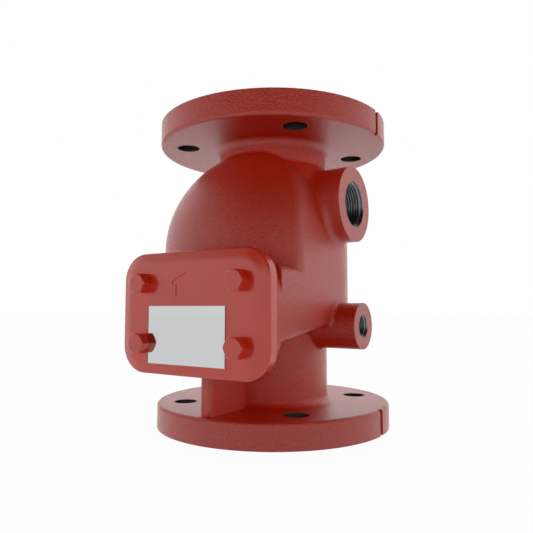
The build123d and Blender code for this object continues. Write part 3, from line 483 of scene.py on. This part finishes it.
def keep_normals(mesh, node):
    """Gives each corner the normal the node has at that point, and new corners their face's own."""
    turn = node.matrix_world.to_3x3()
    known = {}
    for loop in node.data.loops:
        place = node.matrix_world @ node.data.vertices[loop.vertex_index].co
        normal = (turn @ node.data.corner_normals[loop.index].vector).normalized()
        known.setdefault(place_key(place), []).append(normal)
    normals = [None] * len(mesh.loops)
    for face in mesh.polygons:
        face.use_smooth = True
        for index in face.loop_indices:
            place = mesh.vertices[mesh.loops[index].vertex_index].co
            choices = known.get(place_key(place), [])
            nearest = max(choices, key=face.normal.dot, default=face.normal)
            same = face.normal.angle(nearest) < ROUND_LIMIT
            normals[index] = nearest if same else face.normal.copy()
    mesh.normals_split_custom_set(normals)


class VALVE_OT_casting(bpy.types.Operator):
    """Paint the casting."""
    bl_idname = "valve.casting"
    bl_label = "Casting"

    def execute(self, context):
        finish_nodes(cast_paint(context.scene.valve_paint), "valve_body")
        return {"FINISHED"}


class VALVE_OT_cover(bpy.types.Operator):
    """Finish the cover, its bolts and its gasket, and sink the flow arrow into the cover."""
    bl_idname = "valve.cover"
    bl_label = "Cover, bolts and gasket"

    def execute(self, context):
        paint = smooth_paint(context.scene.valve_paint)
        finish_nodes(paint, "handhole_cover", "cover_bolts")
        finish_nodes(rubber("gasket_sheet", colour=(0.05, 0.02, 0.02)), "cover_gasket")
        face_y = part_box("handhole_cover")[0][1]
        cover = carved(NODES["handhole_cover"], arrow_prism(context.scene.valve_arrow, face_y))
        piece = new_piece("cover_with_arrow", cover, paint)
        keep_normals(piece.data, NODES["handhole_cover"])
        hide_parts("handhole_cover")
        return {"FINISHED"}


class VALVE_OT_name_plate(bpy.types.Operator):
    """Give the bare name plate its rolled aluminium."""
    bl_idname = "valve.name_plate"
    bl_label = "Name plate"

    def execute(self, context):
        aluminium = metal("rolled_aluminium", colour=(0.585, 0.60, 0.60), roughness=0.1,
            mark_depth=ROLLED_MARK_DEPTH)
        finish_nodes(aluminium, "name_plate")
        return {"FINISHED"}


class VALVE_OT_threads(bpy.types.Operator):
    """Cut the pipe threads of both ports."""
    bl_idname = "valve.threads"
    bl_label = "Port threads"

    def execute(self, context):
        props = context.scene.valve_threads
        bare = metal("bare_iron", props.colour, props.roughness)
        for port, pitch in (("drain_port", props.drain_pitch), ("alarm_port", props.alarm_pitch)):
            mount = MOUNTS[port]
            radius = mount["dims"]["r_mm"] * MM
            length = mount["dims"]["length_mm"] * MM
            mouth = Vector(mount["pos_m"]) + Vector((length / 2, 0, 0))
            sleeve = thread_sleeve(mouth, radius, length, pitch, pitch * props.depth_share)
            new_piece(port + "_thread", sleeve, bare)
        return {"FINISHED"}


class VALVE_OT_seat(bpy.types.Operator):
    """Finish the seat ring, its screws and its O-rings."""
    bl_idname = "valve.seat"
    bl_label = "Seat"

    def execute(self, context):
        bronze = metal("seat_bronze", colour=(0.60, 0.36, 0.16), roughness=0.25)
        steel = metal("screw_steel", colour=STEEL_COLOUR, roughness=0.3)
        finish_nodes(bronze, "seat_ring")
        finish_nodes(steel, "seat_ring_screws")
        finish_nodes(rubber("oring_rubber"), "seat_oring_upper", "seat_oring_lower")
        return {"FINISHED"}


class VALVE_OT_clapper(bpy.types.Operator):
    """Finish the clapper: disc, facing, retainer, arm, bushings and fasteners."""
    bl_idname = "valve.clapper"
    bl_label = "Clapper"

    def execute(self, context):
        bronze = metal("clapper_bronze", colour=(0.56, 0.33, 0.15), roughness=0.38)
        bushing = metal("bushing_bronze", colour=(0.45, 0.27, 0.12), roughness=0.45)
        steel = metal("fastener_steel", colour=STEEL_COLOUR, roughness=0.3)
        finish_nodes(bronze, "clapper_disc", "facing_retainer", "clapper_arm")
        finish_nodes(bushing, "arm_bushing_left", "arm_bushing_right")
        finish_nodes(steel, "retainer_screws", "stud_washer", "stud_nut", "stud_split_pin")
        finish_nodes(rubber("facing_rubber"), "clapper_facing")
        return {"FINISHED"}


class VALVE_OT_hinge(bpy.types.Operator):
    """Finish the hinge pin, its clips and the closing spring, and show the spring as a free copy of its
    own, on no body.
    """
    bl_idname = "valve.hinge"
    bl_label = "Hinge and spring"

    def execute(self, context):
        steel = metal("pin_steel", colour=(0.60, 0.60, 0.59), roughness=0.22)
        finish_nodes(steel, "hinge_pin", "pin_clip_left", "pin_clip_right", "closing_spring")
        piece = new_piece("winding_spring", welded(NODES["closing_spring"]), steel, body=None)
        piece.data.set_sharp_from_angle(angle=ROUND_LIMIT)
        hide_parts("closing_spring")
        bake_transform(piece)
        return {"FINISHED"}


class VALVE_OT_stage(bpy.types.Operator):
    """Set the camera, the floor and the light."""
    bl_idname = "valve.stage"
    bl_label = "Stage"

    def execute(self, context):
        props = context.scene.valve_stage
        camera = bpy.data.objects.new("camera", bpy.data.cameras.new("camera"))
        context.scene.collection.objects.link(camera)
        camera.data.sensor_width = props.camera_sensor
        camera.data.lens = props.camera_lens
        camera.data.clip_start = props.camera_near
        camera.location = props.camera_place
        camera.rotation_euler = (math.pi / 2 + props.camera_pitch, 0, props.camera_heading)
        context.scene.camera = camera
        self.make_floor(props)
        self.make_sky(props)
        context.scene.view_settings.view_transform = "Standard"
        return {"FINISHED"}

    def make_floor(self, props):
        """Lays a floor that is white to the camera and in reflections, but for the object's shadow."""
        bm = bmesh.new()
        bmesh.ops.create_grid(bm, x_segments=1, y_segments=1, size=props.floor_size / 2)
        floor = new_object("floor", bm)
        material, surface, nodes, links = shader("pale_floor")
        set_sockets(surface, Base_Color=(*[props.floor_grey] * 3, 1), Roughness=props.floor_roughness,
            Specular_IOR_Level=0.0)
        seen = add_node(nodes, "ShaderNodeAddShader")
        glow = add_node(nodes, "ShaderNodeEmission", Strength=props.floor_glow)
        soft = add_node(nodes, "ShaderNodeBsdfDiffuse", Color=(*[props.floor_shadow] * 3, 1))
        path = add_node(nodes, "ShaderNodeLightPath")
        either = add_node(nodes, "ShaderNodeMath", operation="MAXIMUM")
        mix = add_node(nodes, "ShaderNodeMixShader")
        links.new(path.outputs["Is Camera Ray"], either.inputs[0])
        links.new(path.outputs["Is Glossy Ray"], either.inputs[1])
        links.new(glow.outputs[0], seen.inputs[0])
        links.new(soft.outputs[0], seen.inputs[1])
        links.new(either.outputs[0], mix.inputs[0])
        links.new(surface.outputs[0], mix.inputs[1])
        links.new(seen.outputs[0], mix.inputs[2])
        links.new(mix.outputs[0], nodes["Material Output"].inputs["Surface"])
        floor.data.materials.append(material)

    def make_sky(self, props):
        """Lights the object from all around but for a dark patch overhead, on a white background."""
        world = bpy.data.worlds.new("studio")
        bpy.context.scene.world = world
        world.use_nodes = True
        nodes = world.node_tree.nodes
        links = world.node_tree.links
        sky = nodes["Background"]
        place = add_node(nodes, "ShaderNodeTexCoord")
        facing = add_vector_math(nodes, links, "DOT_PRODUCT", place.outputs["Generated"],
            Vector(props.dark_toward).normalized())
        level = add_node(nodes, "ShaderNodeMapRange", interpolation_type="SMOOTHSTEP",
            From_Min=math.cos(props.dark_reach), From_Max=math.cos(props.dark_core),
            To_Min=props.sky_level, To_Max=props.dark_level)
        white = add_node(nodes, "ShaderNodeBackground", Color=WHITE, Strength=1.0)
        path = add_node(nodes, "ShaderNodeLightPath")
        mix = add_node(nodes, "ShaderNodeMixShader")
        set_sockets(sky, Color=WHITE)
        links.new(facing.outputs["Value"], level.inputs["Value"])
        links.new(level.outputs["Result"], sky.inputs["Strength"])
        links.new(path.outputs["Is Camera Ray"], mix.inputs[0])
        links.new(sky.outputs[0], mix.inputs[1])
        links.new(white.outputs[0], mix.inputs[2])
        links.new(mix.outputs[0], nodes["World Output"].inputs["Surface"])


STEPS = (VALVE_OT_casting, VALVE_OT_cover, VALVE_OT_name_plate, VALVE_OT_threads, VALVE_OT_seat,
    VALVE_OT_clapper, VALVE_OT_hinge, VALVE_OT_stage)


class VALVE_PT_sidebar(bpy.types.Panel):
    """Lists the steps that dress the valve."""
    bl_idname = "VALVE_PT_sidebar"
    bl_label = "Sprinkler alarm valve"
    bl_space_type = "VIEW_3D"
    bl_region_type = "UI"
    bl_category = "Valve"

    def draw(self, context):
        for step in STEPS:
            self.layout.operator(step.bl_idname)


GROUPS = {
    "valve_paint": PaintProperties,
    "valve_threads": ThreadProperties,
    "valve_arrow": ArrowProperties,
    "valve_stage": StageProperties,
}


def register():
    """Registers the classes and gives the scene its settings."""
    for cls in (*GROUPS.values(), *STEPS, VALVE_PT_sidebar):
        bpy.utils.register_class(cls)
    for name, group in GROUPS.items():
        setattr(bpy.types.Scene, name, bpy.props.PointerProperty(type=group))


def unregister():
    """Removes the settings and the classes."""
    for name in GROUPS:
        delattr(bpy.types.Scene, name)
    for cls in (VALVE_PT_sidebar, *reversed(STEPS), *reversed(tuple(GROUPS.values()))):
        bpy.utils.unregister_class(cls)


def main():
    """Registers the add-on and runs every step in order."""
    register()
    for step in STEPS:
        group, action = step.bl_idname.split(".")
        getattr(getattr(bpy.ops, group), action)()


if __name__ == "__main__":
    main()
